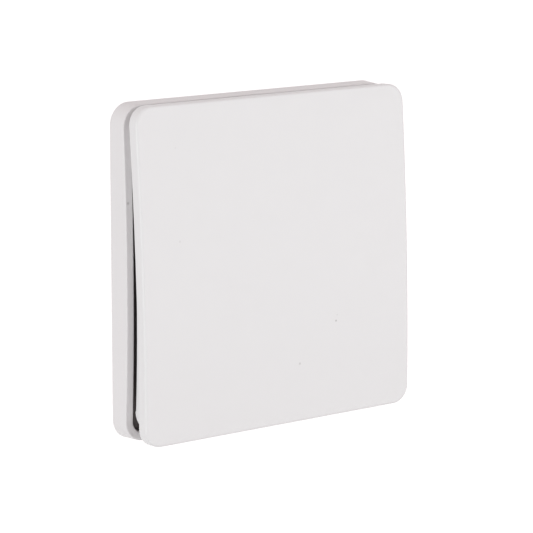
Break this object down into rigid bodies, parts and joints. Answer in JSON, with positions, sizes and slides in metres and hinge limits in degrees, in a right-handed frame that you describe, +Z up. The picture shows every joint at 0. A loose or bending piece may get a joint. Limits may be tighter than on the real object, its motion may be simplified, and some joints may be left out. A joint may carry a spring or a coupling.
{
  "type": "wireless remote wall switch",
  "caption": "Square white wireless wall switch: a large convex rocker plate over a shallow frame with an arched rim, with a push-powered radio sender inside.",
  "frame": {"origin": "centre of the frame's flat back, which lies on the wall", "axes": "+Y into the wall, the rocker faces -Y, +X to the right as seen from the front, +Z up"},
  "size_m": [0.086, 0.0145, 0.086],
  "materials": {
    "frame": "satin white",
    "chassis": "fine matt black",
    "chassis_screws": "zinc plated",
    "hinge_pins": "ground steel",
    "rubber_stops": "soft dark rubber",
    "rocker_plate": "satin white",
    "rocker_carrier": "fine matt black",
    "generator_cradle": "matt dark grey",
    "coil_bobbin": "natural nylon",
    "coil_winding": "enamelled copper wire",
    "coil_leads": "enamelled copper wire",
    "core": "soft iron sheet",
    "core_lever": "natural nylon",
    "rear_pole": "soft iron sheet",
    "front_pole": "soft iron sheet",
    "pole_screws": "zinc plated",
    "magnet": "nickel plated",
    "circuit_board": "green solder mask",
    "board_screws": "zinc plated",
    "radio_chip": "black moulding",
    "crystal": "tinned can",
    "storage_capacitors": "tan ceramic",
    "inductor": "ferrite",
    "regulator": "black moulding",
    "rectifier_diodes": "black moulding",
    "chip_parts": "ceramic",
    "antenna": "bare wire",
    "button_case": "plated case",
    "button_cap": "black cap"
  },
  "bodies": {
    "base": {"frame": "frame", "chassis": "chassis", "chassis_screws": "chassis_screws", "hinge_pins": "hinge_pins", "rubber_stops": "rubber_stops", "generator_cradle": "generator_cradle", "coil_bobbin": "coil_bobbin", "coil_winding": "coil_winding", "coil_leads": "coil_leads", "rear_pole": "rear_pole", "front_pole": "front_pole", "pole_screws": "pole_screws", "magnet": "magnet", "circuit_board": "circuit_board", "board_screws": "board_screws", "radio_chip": "radio_chip", "crystal": "crystal", "storage_capacitors": "storage_capacitors", "inductor": "inductor", "regulator": "regulator", "rectifier_diodes": "rectifier_diodes", "chip_parts": "chip_parts", "antenna": "antenna", "button_case": "button_case"},
    "rocker": {"rocker_plate": "rocker_plate", "rocker_carrier": "rocker_carrier"},
    "generator_core": {"core": "core", "core_lever": "core_lever"},
    "pairing_button": {"button_cap": "button_cap"}
  },
  "joints": [
    {"name": "rocker_hinge", "type": "hinge", "parent": "base", "child": "rocker", "pos_m": [0, -0.0075, 0], "axis": [1, 0, 0], "range_deg": [0, 4.86]},
    {"name": "core_hinge", "type": "hinge", "parent": "base", "child": "generator_core", "pos_m": [0, -0.0056, 0.002], "axis": [1, 0, 0], "range_deg": [0, 4.35]},
    {"name": "button_press", "type": "slide", "parent": "base", "child": "pairing_button", "axis": [0, 1, 0], "range_m": [0, 0.00025], "stiffness_N_per_m": 400, "springref_m": -0.0005}
  ],
  "couplings": [
    {"joint": "core_hinge", "follows": "rocker_hinge", "ratio": 0.89474}
  ]
}
